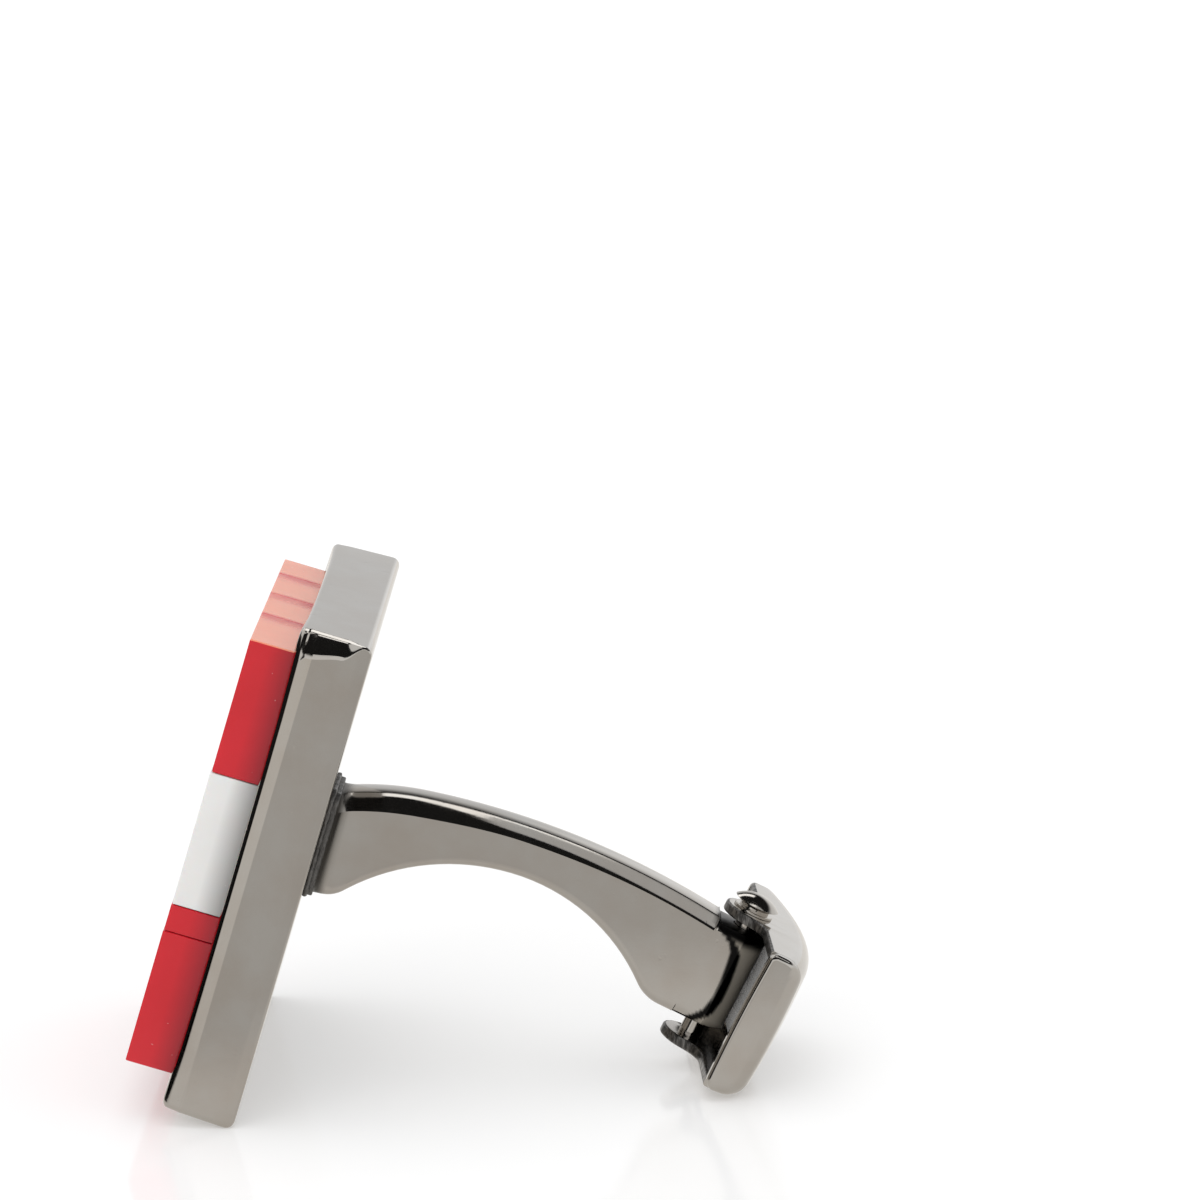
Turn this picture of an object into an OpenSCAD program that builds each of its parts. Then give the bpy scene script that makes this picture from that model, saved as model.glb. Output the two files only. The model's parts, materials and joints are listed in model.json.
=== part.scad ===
// Cufflink with a block-mosaic face, an arched post and a swivelling toggle.
// It is drawn square to its face first: X runs back from the tray's front rim, Y across, Z up the face.
// in_pose() then leans it back as it lies on a table, on the tray's lower edge and the toggle.

/* [Tray] */
// Width of the tray's rim round the mosaic, half way along its flare
rim_w = 1.07; // [0.8:0.01:2]
// Thickness of the tray, front rim to back
tray_t = 2.8; // [2.2:0.1:4]
// How far each side wall spreads from front to back
tray_flare = 0.1; // [0:0.02:0.3]
// Radius of the tray's corners at its front rim
rim_corner_r = 0.9; // [0.2:0.05:1.4]
// Radius of the tray's corners at its back
tray_corner_r = 0.35; // [0.1:0.05:1]
// How far back the bevel round the front rim reaches
bevel_depth = 0.7; // [0.2:0.05:1]
// How far that bevel draws the rim in
bevel_in = 0.17; // [0.05:0.01:0.4]
// Rounding of the tray's back edge
tray_back_round = 0.4; // [0.1:0.05:0.8]
// Depth of the pocket that holds the mosaic
pocket_depth = 1.2; // [0.6:0.1:1.8]

/* [Mosaic] */
// Size of one mosaic module, of which the blocks span whole numbers
module_size = 1.05; // [0.9:0.01:1.3]
// How far the blocks stand out of the tray
block_proud = 1.65; // [0.8:0.05:3]
// Width of the open joint between blocks and round them
joint_gap = 0.03; // [0.02:0.01:0.08]
// Thickness of the glue bed under the blocks
glue_t = 0.1; // [0.05:0.05:0.3]

/* [Post] */
// Thickness of the post across its flat sides
post_t = 2.44; // [1.8:0.02:2.8]
// Distance from the tray's back to the pin's middle
post_reach = 16.44; // [14:0.02:22]
// Highest point of the post's upper edge above the tray's middle
top_rise = 2.87; // [2.5:0.01:3.4]
// Distance of that point behind the tray
top_apex = 6.3; // [5:0.1:8]
// Rounding of the two long upper edges
top_round = 0.5; // [0.2:0.05:0.8]
// Highest point of the arch under the post
arch_rise = 0.86; // [0.4:0.02:1.2]
// Distance of the arch's highest point behind the tray
arch_apex = 7.5; // [6.5:0.1:8.5]
// Radius of the heel below the knuckle
heel_r = 1.7; // [1.2:0.1:2.2]
// Distance of the heel's centre in front of the pin
heel_reach = 1.75; // [1.4:0.05:2.4]
// Height of the foot that is soldered to the tray
foot_h = 4.4; // [3.8:0.1:6]
// How far the foot spreads beyond each side of the post
foot_spread = 0.58; // [0.3:0.02:1.2]
// Thickness of the foot's flange
foot_t = 0.4; // [0.2:0.05:0.6]
// Thickness of the solder under the foot
solder_t = 0.12; // [0.06:0.02:0.3]

/* [Hinge] */
// Height of the pin's middle relative to the tray's middle
pin_w = -1.02; // [-1.6:0.02:-0.4]
// Tilt of the pin away from the tray's plane, in degrees
pin_tilt = 10; // [4:1:14]
// Radius of the pin
pin_r = 0.45; // [0.3:0.01:0.55]
// Radial running clearance of the pin in the knuckle
pin_clearance = 0.05; // [0.02:0.01:0.1]
// Radial clearance of the pin in the toggle's ears, where it is riveted
ear_clearance = 0.01; // [0.01:0.01:0.03]
// How far the knuckle's radius exceeds half the post's thickness
knuckle_swell = 0.03; // [0.02:0.01:0.1]
// Depth of the flat seat on the knuckle under the post's upper edge
seat_step = 0.15; // [0.05:0.05:0.25]
// Play between the knuckle and the upper ear
upper_play = 0.3; // [0.15:0.05:0.6]
// Play between the knuckle and the lower ear
lower_play = 0.75; // [0.15:0.05:0.9]
// Radius of the pin's formed head
head_r = 0.9; // [0.7:0.02:1.05]
// Height of the pin's formed head
head_h = 0.36; // [0.2:0.02:0.6]
// Radius of the pin's riveted end
peen_r = 0.6; // [0.56:0.02:0.8]
// Height of the pin's riveted end
peen_h = 0.2; // [0.1:0.02:0.4]

/* [Toggle] */
// Length of the toggle
toggle_len = 10.4; // [9:0.2:16]
// Width of the toggle over its side walls
toggle_w = 5.9; // [5.4:0.1:7]
// How far the toggle's back falls away at its two ends
back_fall = 0.88; // [0.6:0.02:1.1]
// Crown of the back across its width
back_crown = 0.12; // [0.05:0.01:0.25]
// Radius of the two long edges of the back
back_round = 0.8; // [0.6:0.05:1]
// Thickness of the toggle's sheet metal
toggle_wall = 0.4; // [0.3:0.02:0.45]
// Distance from the pin back to the rim of the toggle's walls
rim_p = 0.42; // [0.3:0.02:0.9]
// Radius of the ears round the pin
ear_r = 1.1; // [0.8:0.02:1.2]
// Radius of the hollow between an ear and the rim
ear_fillet_r = 1; // [0.5:0.05:1.4]
// Radius of the rim corners of the folded end walls
flap_r = 0.7; // [0.3:0.05:0.9]
// Radius of the fold between the back and each end wall
fold_r = 0.45; // [0.2:0.05:0.6]
// Thickness of the detent spring inside the toggle
spring_t = 0.15; // [0.1:0.01:0.2]
// Width of the detent spring
spring_w = 3.6; // [2.4:0.1:4]
// How far the detent spring bows from its ends to its middle
spring_bow = 0.16; // [0.08:0.01:0.4]
// Gap between the knuckle and the detent spring, and behind the spring's ends
spring_gap = 0.05; // [0.03:0.01:0.1]
// Angle of the toggle off square where it rests, in degrees
rest_swivel = 4; // [-6:1:6]

/* [Hidden] */

gunmetal = [0.36, 0.35, 0.34];
steel = [0.62, 0.62, 0.63];
red_resin = [0.72, 0.04, 0.07];
white_resin = [0.93, 0.93, 0.91];
glue_amber = [0.78, 0.72, 0.5];
solder_grey = [0.5, 0.5, 0.5];

// Overrun of cuts, and the thickness of the slices that shape the tray
over = 1;
slice = 0.01;
$fn = 96;
arc_steps = 20;
round_steps = 8;
corner_steps = 6;

// Modules that each block spans: rows from the top down, and blocks from the near side across
module_count = 16;
row_counts = [5, 5, 1, 5];
top_counts = [5, 4, 4, 3];
white_counts = [5, 6, 5];
strip_counts = [9, 7];
low_counts = [4, 4, 4, 4];

mosaic_side = module_count * module_size;
block_depth = block_proud + pocket_depth - glue_t;
pocket_side = mosaic_side + 2 * joint_gap;
tray_side = pocket_side + 2 * rim_w;

// Overlap of shapes that are fused into one piece, and the angle at which the toggle's fold meets its back
weld = 0.02;
fold_cut = 6;
half_t = post_t / 2;
foot_u = tray_t + solder_t;
foot_top_u = foot_u + foot_t;
foot_w = post_t + 2 * foot_spread;
pin_u = tray_t + post_reach;
half_w = toggle_w / 2;
knuckle_r = half_t + knuckle_swell;
knuckle_top = half_w - toggle_wall - upper_play;
knuckle_low = toggle_wall + lower_play - half_w;

// Points on a circular arc
function arc(centre, r, from, to, steps = arc_steps) =
    [for (i = [0 : steps]) let (a = from + (to - from) * i / steps)
        centre + r * [cos(a), sin(a)]];
function total(list, count, i = 0) = i >= count ? 0 : list[i] + total(list, count, i + 1);

// Place along the pin and back from it, turned into the tray's directions
function from_pin(p, a) = [
    pin_u + p * cos(pin_tilt) + a * sin(pin_tilt),
    pin_w - p * sin(pin_tilt) + a * cos(pin_tilt)
];

// The toggle's back is turned about an axis beside the pin and parallel to it.
// It lies as deep as the detent spring needs, whose ends bear on it inside.
back_r = (pow(toggle_len / 2, 2) + pow(back_fall, 2)) / (2 * back_fall);
spring_half = toggle_len / 2 - toggle_wall - 2 * spring_t;
spring_drop = back_r - toggle_wall - sqrt(pow(back_r - toggle_wall, 2) - pow(spring_half, 2));
spring_front = knuckle_r + spring_gap;
back_apex = spring_front + spring_t + spring_bow + spring_gap + spring_drop + toggle_wall;
back_axis = back_apex - back_r;
crown_r = (pow(half_w, 2) + pow(back_crown, 2)) / (2 * back_crown);
round_z = half_w - back_round;
round_r = back_r - crown_r + sqrt(pow(crown_r - back_round, 2) - pow(round_z, 2));
crown_angle = atan2(round_z, round_r - back_r + crown_r);

// The lean at which the tray's lower back edge and the toggle's lower edge touch one flat surface
toggle_edge = from_pin(back_axis * cos(rest_swivel) + round_r, -round_z);
tray_edge = [tray_t - tray_back_round, -tray_side / 2 - tray_flare / 2 + tray_back_round];
reach = toggle_edge - tray_edge;
lean = atan2(reach[1], reach[0]) + asin((tray_back_round - back_round) / norm(reach));
function world_x(p) = p[0] * cos(lean) + p[1] * sin(lean);
function world_z(p) = -p[0] * sin(lean) + p[1] * cos(lean);
low_x = min(
    world_x([-block_proud, -mosaic_side / 2]),
    world_x([0, -tray_side / 2 + tray_flare / 2 + bevel_in])
);
high_x = world_x(from_pin(back_axis * cos(rest_swivel) + round_r, round_z)) + back_round;
pose_x = -(low_x + high_x) / 2;
pose_z = tray_back_round - world_z(tray_edge);

// Leans the whole cufflink as it lies, with its lowest points at height zero
module in_pose() {
    translate([pose_x, 0, pose_z]) rotate([0, lean, 0]) children();
}

// Puts X back from the pin, Y across and Z up along the pin
module at_pin() {
    translate([pin_u, 0, pin_w]) rotate([0, pin_tilt, 0]) children();
}

module in_toggle() {
    in_pose() at_pin() rotate([0, 0, rest_swivel]) children();
}

// Turns an outline drawn in distance back and height into a slab across Y
module across(width) {
    translate([0, width / 2, 0]) rotate([90, 0, 0]) linear_extrude(width) children();
}

// Outline of a plate with rounded corners
function rounded(width, height, r) = concat(
    arc([width / 2 - r, height / 2 - r], r, 0, 90, corner_steps),
    arc([r - width / 2, height / 2 - r], r, 90, 180, corner_steps),
    arc([r - width / 2, r - height / 2], r, 180, 270, corner_steps),
    arc([width / 2 - r, r - height / 2], r, 270, 360, corner_steps)
);

// A plate square to X, whose outline is drawn across and up
module plate(u, thickness) {
    translate([u, 0, 0]) rotate([90, 0, 90]) linear_extrude(thickness) children();
}

module tray_slice(u, inset, corner_r) {
    side = tray_side - 2 * inset;
    plate(u, slice) polygon(rounded(side, side, corner_r));
}

// The tray: beveled in front, flared to the back, with its back edge rounded
module base_tray() {
    wide = -tray_flare / 2;
    turn = tray_back_round;
    color(gunmetal) in_pose() difference() {
        hull() {
            tray_slice(0, -wide + bevel_in, rim_corner_r);
            tray_slice(bevel_depth, wide * (2 * bevel_depth / tray_t - 1), rim_corner_r);
            for (angle = [0 : 30 : 90])
                tray_slice(tray_t - turn - slice + turn * sin(angle), wide + turn * (1 - cos(angle)),
                    tray_corner_r);
        }
        translate([-over, -pocket_side / 2, -pocket_side / 2])
            cube([pocket_depth + over, pocket_side, pocket_side]);
    }
}

module glue_bed() {
    color(glue_amber) in_pose()
        translate([pocket_depth - glue_t, -mosaic_side / 2, -mosaic_side / 2])
            cube([glue_t, mosaic_side, mosaic_side]);
}

// One mosaic block of a row, counted from the near side
module block(row, counts, index) {
    side = -mosaic_side / 2 + total(counts, index) * module_size;
    low = mosaic_side / 2 - total(row_counts, row + 1) * module_size;
    in_pose() translate([-block_proud, side + joint_gap / 2, low + joint_gap / 2])
        cube([block_depth, counts[index] * module_size - joint_gap,
            row_counts[row] * module_size - joint_gap]);
}

module top_block(index) {
    color(red_resin) block(0, top_counts, index);
}

module white_block(index) {
    color(white_resin) block(1, white_counts, index);
}

module strip_block(index) {
    color(red_resin) block(2, strip_counts, index);
}

module low_block(index) {
    color(red_resin) block(3, low_counts, index);
}

// A plate with the foot's outline grown by a lip
module foot_plate(u, thickness, lip) {
    plate(u, thickness) polygon(rounded(foot_w + 2 * lip, foot_h + 2 * lip, foot_t + lip));
}

// The solder shows as a thin lip round the foot
module solder_joint() {
    color(solder_grey) in_pose() foot_plate(tray_t, solder_t, solder_t);
}

// Side view of the post. Its upper edge runs over its highest point to the knuckle's seat,
// its underside along the heel and up into an arch of two radii down to the foot.
foot_low = -foot_h / 2;
top_end = from_pin(-knuckle_r, knuckle_top + seat_step);
top_apex_u = tray_t + top_apex;
top_span = top_end[0] - top_apex_u;
top_drop = top_rise - top_end[1];
top_r = (pow(top_span, 2) + pow(top_drop, 2)) / (2 * top_drop);
top_centre = [top_apex_u, top_rise - top_r];
heel_centre = from_pin(-heel_reach, knuckle_low + heel_r);
arch_apex_u = tray_t + arch_apex;
heel_span = heel_centre[0] - arch_apex_u;
heel_rise = heel_centre[1] - arch_rise;
arch_back_r = (pow(heel_span, 2) + pow(heel_rise, 2) - pow(heel_r, 2)) / (2 * (heel_r - heel_rise));
arch_back = [arch_apex_u, arch_rise - arch_back_r];
heel_turn = atan2(heel_centre[1] - arch_back[1], heel_centre[0] - arch_back[0]);
foot_span = arch_apex_u - foot_top_u - foot_spread;
foot_drop = arch_rise - foot_low - foot_t / 4;
arch_front_r = (pow(foot_span, 2) + pow(foot_drop, 2)) / (2 * foot_drop);
arch_front = [arch_apex_u, arch_rise - arch_front_r];
foot_turn = 180 - atan2(arch_front_r - foot_drop, foot_span);

// The outline stands above the upper edge by over, and the turned section trims it there
function post_outline() = concat(
    [[foot_top_u - foot_t / 2, foot_low + foot_t / 2], [foot_top_u - foot_t / 2, -foot_low - foot_t / 2]],
    [[foot_top_u, -foot_low - foot_t / 2], [foot_top_u + foot_spread, top_rise + over]],
    [[top_end[0], top_rise + over], from_pin(-knuckle_r, knuckle_top)],
    [from_pin(knuckle_r + over, knuckle_top), from_pin(knuckle_r + over, knuckle_low)],
    arc(heel_centre, heel_r, 270 - pin_tilt, 180 + heel_turn),
    arc(arch_back, arch_back_r, heel_turn, 90),
    arc(arch_front, arch_front_r, 90, foot_turn)
);

// Plan of the foot: the post's sides spread into the flange
function foot_plan() = concat(
    [[foot_u + foot_t / 2, -half_t], [foot_u + foot_t / 2, -half_t - foot_spread + weld]],
    arc([foot_top_u + foot_spread, -half_t - foot_spread + weld], foot_spread, 180, 90, round_steps),
    arc([foot_top_u + foot_spread, half_t + foot_spread - weld], foot_spread, 270, 180, round_steps),
    [[foot_u + foot_t / 2, half_t + foot_spread - weld], [foot_u + foot_t / 2, half_t]]
);

// A full turn of the post's section, whose outer edge is the post's rounded upper edge
module top_turn() {
    flat = half_t - top_round;
    translate([top_centre[0], 0, top_centre[1]]) rotate([90, 0, 0])
        rotate_extrude($fn = 360)
            polygon(concat(
                [[top_r / 2, -half_t]],
                arc([top_r - top_round, -flat], top_round, -90, 0, round_steps),
                arc([top_r - top_round, flat], top_round, 0, 90, round_steps),
                [[top_r / 2, half_t]]
            ));
}

// Plan of the post seen along the pin: open to the front, half round behind the pin
module barrel_plan() {
    circle(knuckle_r);
    translate([-pin_u, -post_t]) square([pin_u, 2 * post_t]);
}

// The arched post, with its foot and the drilled knuckle
module post() {
    color(gunmetal) in_pose() difference() {
        union() {
            intersection() {
                across(post_t + over) polygon(post_outline());
                top_turn();
                at_pin() linear_extrude(2 * toggle_w, center = true) barrel_plan();
            }
            foot_plate(foot_u, foot_t, 0);
            intersection() {
                translate([0, 0, -foot_h]) linear_extrude(2 * foot_h) polygon(foot_plan());
                foot_plate(foot_u, foot_t + foot_spread + over, -weld);
            }
        }
        at_pin() cylinder(h = 2 * toggle_w, r = pin_r + pin_clearance, center = true);
    }
}

// Section of the toggle at a depth under its outer surface, as distance from the turning axis and height
function toggle_section(depth) = concat(
    [[-back_axis - ear_r - over, depth - half_w]],
    arc([round_r, -round_z], back_round - depth, -90, -crown_angle, round_steps),
    arc([back_r - crown_r, 0], crown_r - depth, -crown_angle, crown_angle, round_steps),
    arc([round_r, round_z], back_round - depth, crown_angle, 90, round_steps),
    [[-back_axis - ear_r - over, half_w - depth]]
);

module toggle_turn(depth) {
    sweep = 2 * asin((toggle_len / 2 + over) / (rim_p - back_axis));
    translate([back_axis, 0, 0]) rotate([0, 0, -sweep / 2])
        rotate_extrude(angle = sweep, $fn = 240) polygon(toggle_section(depth));
}

// Outline of the toggle seen along the pin: ears round the pin, hollows beside them, straight ends
// folded over into the back, which the turned section trims
fold_v = toggle_len / 2 - fold_r;
fold_p = back_axis + sqrt(pow(back_r - fold_r, 2) - pow(fold_v, 2));
fold_turn = atan2(fold_v, fold_p - back_axis) - fold_cut;
hollow_v = sqrt(pow(ear_r + ear_fillet_r, 2) - pow(rim_p - ear_fillet_r, 2));
hollow_angle = atan2(hollow_v, rim_p - ear_fillet_r);
function rim_outline() = concat(
    [[rim_p, -toggle_len / 2]],
    arc([rim_p - ear_fillet_r, -hollow_v], ear_fillet_r, 0, 180 - hollow_angle, round_steps),
    arc([0, 0], ear_r, 360 - hollow_angle, hollow_angle),
    arc([rim_p - ear_fillet_r, hollow_v], ear_fillet_r, hollow_angle - 180, 0, round_steps),
    [[rim_p, toggle_len / 2]],
    arc([fold_p, fold_v], fold_r, 90, fold_turn, corner_steps),
    [[back_apex + over, fold_v], [back_apex + over, -fold_v]],
    arc([fold_p, -fold_v], fold_r, -fold_turn, -90, corner_steps)
);

// The folded shell with square rim corners: arched back, two side walls with ears, two end walls
module toggle_blank() {
    inner_len = toggle_len - 2 * toggle_wall;
    difference() {
        intersection() {
            toggle_turn(0);
            translate([0, 0, -toggle_w]) linear_extrude(2 * toggle_w) polygon(rim_outline());
        }
        intersection() {
            toggle_turn(toggle_wall);
            translate([-back_apex, -inner_len / 2, -toggle_w])
                cube([3 * back_apex, inner_len, 2 * toggle_w]);
        }
        cylinder(h = 2 * toggle_w, r = pin_r + ear_clearance, center = true);
    }
}

// The shell, with the rim corners of its end walls rounded off
module toggle_shell() {
    color(gunmetal) in_toggle() difference() {
        toggle_blank();
        for (end = [-1, 1]) for (side = [0, 1])
            translate([0, end * (toggle_len - toggle_wall) / 2, 0]) mirror([0, 0, side]) flap_notch();
    }
}

// What a rounded rim corner of an end wall leaves open beside the side wall
module flap_notch() {
    inner = half_w - toggle_wall;
    across(toggle_wall + over)
        polygon(concat(
            [[rim_p - over, inner]],
            arc([rim_p + flap_r, inner - flap_r], flap_r, 90, 180, corner_steps),
            [[rim_p - over, inner - flap_r]]
        ));
}

// The riveted pin: formed head above the upper ear, peened end below the lower one
module toggle_pin() {
    head_lip = head_h / 3;
    dome = head_h - head_lip;
    dome_r = (pow(head_r, 2) + pow(dome, 2)) / (2 * dome);
    peen_dome_r = (pow(peen_r, 2) + pow(peen_h, 2)) / (2 * peen_h);
    color(gunmetal) in_toggle() rotate_extrude()
        polygon(concat(
            [[pin_r, half_w], [head_r, half_w]],
            arc([0, half_w + head_h - dome_r], dome_r, asin((dome_r - dome) / dome_r), 90),
            arc([0, -half_w - peen_h + peen_dome_r], peen_dome_r, -90,
                -asin((peen_dome_r - peen_h) / peen_dome_r)),
            [[pin_r, -half_w]]
        ));
}

// Leaf spring: its middle bows towards the knuckle, its ends bear inside the toggle's back
module detent_spring() {
    leaf_r = (pow(spring_half, 2) + pow(spring_bow, 2)) / (2 * spring_bow);
    turn = asin(spring_half / leaf_r);
    centre = [spring_front + spring_t + leaf_r, 0];
    color(steel) in_toggle() translate([0, 0, -spring_w / 2]) linear_extrude(spring_w)
        polygon(concat(
            arc(centre, leaf_r, 180 - turn, 180 + turn),
            arc(centre, leaf_r + spring_t, 180 + turn, 180 - turn)
        ));
}

base_tray();
glue_bed();
top_block(0);  // top_block_1
top_block(1);  // top_block_2
top_block(2);  // top_block_3
top_block(3);  // top_block_4
white_block(0);  // white_block_1
white_block(1);  // white_block_2
white_block(2);  // white_block_3
strip_block(0);  // strip_block_1
strip_block(1);  // strip_block_2
low_block(0);  // low_block_1
low_block(1);  // low_block_2
low_block(2);  // low_block_3
low_block(3);  // low_block_4
solder_joint();
post();
toggle_shell();
toggle_pin();
detent_spring();
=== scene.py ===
"""Looks of the cufflink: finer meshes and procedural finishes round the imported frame."""

import json
import math

import bpy
import bmesh
import numpy as np
from mathutils import Matrix, Vector, noise


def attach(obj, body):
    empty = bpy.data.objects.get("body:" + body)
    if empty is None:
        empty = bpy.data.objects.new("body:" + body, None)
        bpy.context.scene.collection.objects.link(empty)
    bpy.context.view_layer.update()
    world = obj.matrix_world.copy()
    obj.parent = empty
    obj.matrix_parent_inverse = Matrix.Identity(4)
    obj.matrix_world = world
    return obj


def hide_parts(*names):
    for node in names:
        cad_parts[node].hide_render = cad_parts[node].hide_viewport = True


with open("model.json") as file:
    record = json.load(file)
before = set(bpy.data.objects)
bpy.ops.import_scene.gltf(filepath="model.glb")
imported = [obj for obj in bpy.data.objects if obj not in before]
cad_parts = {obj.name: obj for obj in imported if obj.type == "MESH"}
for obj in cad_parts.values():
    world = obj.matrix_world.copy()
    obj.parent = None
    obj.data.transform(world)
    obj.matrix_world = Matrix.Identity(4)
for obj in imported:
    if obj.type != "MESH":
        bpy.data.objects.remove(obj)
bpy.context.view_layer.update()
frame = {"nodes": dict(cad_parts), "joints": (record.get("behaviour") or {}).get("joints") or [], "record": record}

MM = 0.001

# Places: the link's own frame (X back from the tray's rim, Y across, Z up the face) and the toggle's
# (X back from the pin, Y along the toggle, Z up the pin), both in millimetres.


def points_in(node, turn):
    """A CAD node's vertices in millimetres, turned into a frame's directions."""
    vertices = frame["nodes"][node].data.vertices
    points = np.empty(len(vertices) * 3)
    vertices.foreach_get("co", points)
    return points.reshape(-1, 3) / MM @ np.array(turn.to_3x3())


def box_in(node, place):
    """Lowest and highest corner of a CAD node in a frame's millimetres."""
    turn = place.to_3x3().normalized()
    shift = np.array(place.to_translation()) / MM @ np.array(turn)
    points = points_in(node, turn) - shift
    return points.min(0), points.max(0)


face_axis = next(m for m in frame["record"]["mounts"] if m["name"] == "mosaic_front")["axis"]
lean = math.atan2(face_axis[2], -face_axis[0])
link_turn = Matrix.Rotation(lean, 4, "Y")
tray_points = points_in("base_tray", link_turn)
tray_low, tray_high = tray_points.min(0), tray_points.max(0)
tray_middle = (tray_low + tray_high) / 2
link_origin = link_turn @ Vector((tray_low[0], tray_middle[1], tray_middle[2]))
LINK = Matrix.Translation(link_origin * MM) @ link_turn @ Matrix.Scale(MM, 4)

hinge = next(j for j in frame["joints"] if j["name"] == "toggle_swivel")
pin_axis = Vector(hinge["axis"]).normalized()
pin_back = Vector((pin_axis.z, 0, -pin_axis.x))
rest_swivel = -math.radians(sum(hinge["range_deg"]) / 2)
pin_turn = Matrix((pin_back, (0, 1, 0), pin_axis)).transposed().to_4x4()
toggle_turn = pin_turn @ Matrix.Rotation(rest_swivel, 4, "Z")
TOGGLE = Matrix.Translation(hinge["pos_m"]) @ toggle_turn @ Matrix.Scale(MM, 4)


# Mesh helpers


def arc(centre, radius, start, end, steps):
    """Points on an arc in a plane, from one angle in degrees to the other."""
    angles = [math.radians(start + (end - start) * i / steps) for i in range(steps + 1)]
    return [(centre[0] + radius * math.cos(a), centre[1] + radius * math.sin(a)) for a in angles]


def mix(a, b, t):
    return a + (b - a) * t


def smooth(t):
    t = min(max(t, 0), 1)
    return t * t * (3 - 2 * t)


def loft(rings, closed=False):
    """Vertices and faces of a closed skin over rings with equal counts of points.
    The first and last ring are capped, or joined to each other when closed is true."""
    count = len(rings[0])
    vertices = [p for ring in rings for p in ring]
    faces = []
    for k in range(len(rings) if closed else len(rings) - 1):
        a, b = k * count, (k + 1) % len(rings) * count
        faces += [(a + i, a + (i + 1) % count, b + (i + 1) % count, b + i) for i in range(count)]
    if not closed:
        faces += [tuple(range(count)), tuple(range(len(vertices) - count, len(vertices)))]
    return vertices, faces


def lathe(profile, steps=96):
    """A turned solid from (radius, height) points that start and end on the axis."""
    rings = [[(r * math.cos(2 * math.pi * i / steps), r * math.sin(2 * math.pi * i / steps), h)
              for i in range(steps)] for r, h in profile[1:-1]]
    vertices, faces = loft(rings)
    faces = faces[:-2]
    for ring, (_, height) in ((0, profile[0]), (len(rings) - 1, profile[-1])):
        first = ring * steps
        vertices.append((0, 0, height))
        faces += [(first + i, first + (i + 1) % steps, len(vertices) - 1) for i in range(steps)]
    return vertices, faces


def make_object(name, parts, place):
    """One mesh object from a list of (vertices, faces) in a frame's millimetres."""
    mesh = bpy.data.meshes.new(name)
    vertices, faces = [], []
    for part_vertices, part_faces in parts:
        faces += [tuple(i + len(vertices) for i in face) for face in part_faces]
        vertices += [place @ Vector(p) for p in part_vertices]
    mesh.from_pydata(vertices, [], faces)
    work = bmesh.new()
    work.from_mesh(mesh)
    bmesh.ops.recalc_face_normals(work, faces=work.faces)
    work.to_mesh(mesh)
    work.free()
    obj = bpy.data.objects.new(name, mesh)
    bpy.context.scene.collection.objects.link(obj)
    return obj


DRILL_REACH = 4


def drill(obj, radius, place):
    """Cuts a round bore along a frame's Z axis and keeps the result in the mesh."""
    profile = [(0, -DRILL_REACH), (radius, -DRILL_REACH), (radius, DRILL_REACH), (0, DRILL_REACH)]
    cutter = make_object("cutter", [lathe(profile, 64)], place)
    modifier = obj.modifiers.new("bore", "BOOLEAN")
    modifier.object = cutter
    modifier.solver = "EXACT"
    bpy.context.view_layer.update()
    cut = bpy.data.meshes.new_from_object(obj.evaluated_get(bpy.context.evaluated_depsgraph_get()))
    obj.modifiers.clear()
    obj.data = cut
    cut.name = obj.name
    bpy.data.objects.remove(cutter)


def mark(obj, name, values):
    """Gives each vertex a number for the materials to read."""
    obj.data.attributes.new(name, "FLOAT", "POINT").data.foreach_set("value", values)


def points_of(obj, place):
    """A made mesh's vertices in a frame's millimetres."""
    back = place.inverted()
    return [back @ vertex.co for vertex in obj.data.vertices]


def repaint(node, material):
    """Gives a CAD node that is shown as it is another material."""
    materials = frame["nodes"][node].data.materials
    materials.clear()
    materials.append(material)


def install(obj, body, material, nodes=(), crease=10):
    """Gives a finished mesh its material, body and the CAD nodes that it stands for.
    Its shading is smooth, with edges sharper than crease degrees kept crisp."""
    obj.data.shade_smooth()
    obj.data.set_sharp_from_angle(angle=math.radians(crease))
    modifier = obj.modifiers.new("even_normals", "WEIGHTED_NORMAL")
    modifier.keep_sharp = True
    modifier.weight = 50
    if not obj.data.materials:
        obj.data.materials.append(material)
    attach(obj, body)
    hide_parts(*nodes)
    return obj


# Material helpers


class Nodes:
    """A node tree, built by short calls."""

    def __init__(self, tree):
        self.tree = tree

    def node(self, kind, **values):
        made = self.tree.nodes.new(kind)
        for key, value in values.items():
            setattr(made, key, value)
        return made

    def put(self, socket, value):
        """Links a socket or sets it. A tuple is an opaque colour."""
        if isinstance(value, bpy.types.NodeSocket):
            self.tree.links.new(value, socket)
        else:
            socket.default_value = (*value, 1.0) if isinstance(value, tuple) else value

    def result(self, kind, *values, **settings):
        """The first output of a node, whose inputs are given in their order."""
        made = self.node(kind, **settings)
        for socket, value in zip(made.inputs, values):
            self.put(socket, value)
        return made.outputs[0]

    def axes(self, place):
        """X, Y and Z of a vector."""
        split = self.node("ShaderNodeSeparateXYZ")
        self.put(split.inputs["Vector"], place)
        return [split.outputs[axis] for axis in "XYZ"]

    def spread(self, value, low, high, to_low=0.0, to_high=1.0, kind="LINEAR"):
        """Maps low to high of a value onto another range."""
        return self.result("ShaderNodeMapRange", value, low, high, to_low, to_high, interpolation_type=kind)

    def ramp(self, *numbers):
        """Like spread, with a soft start and end."""
        return self.spread(*numbers, kind="SMOOTHSTEP")

    def math(self, operation, a, b=0.0):
        return self.result("ShaderNodeMath", a, b, operation=operation)

    def times(self, a, b):
        return self.math("MULTIPLY", a, b)


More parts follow.
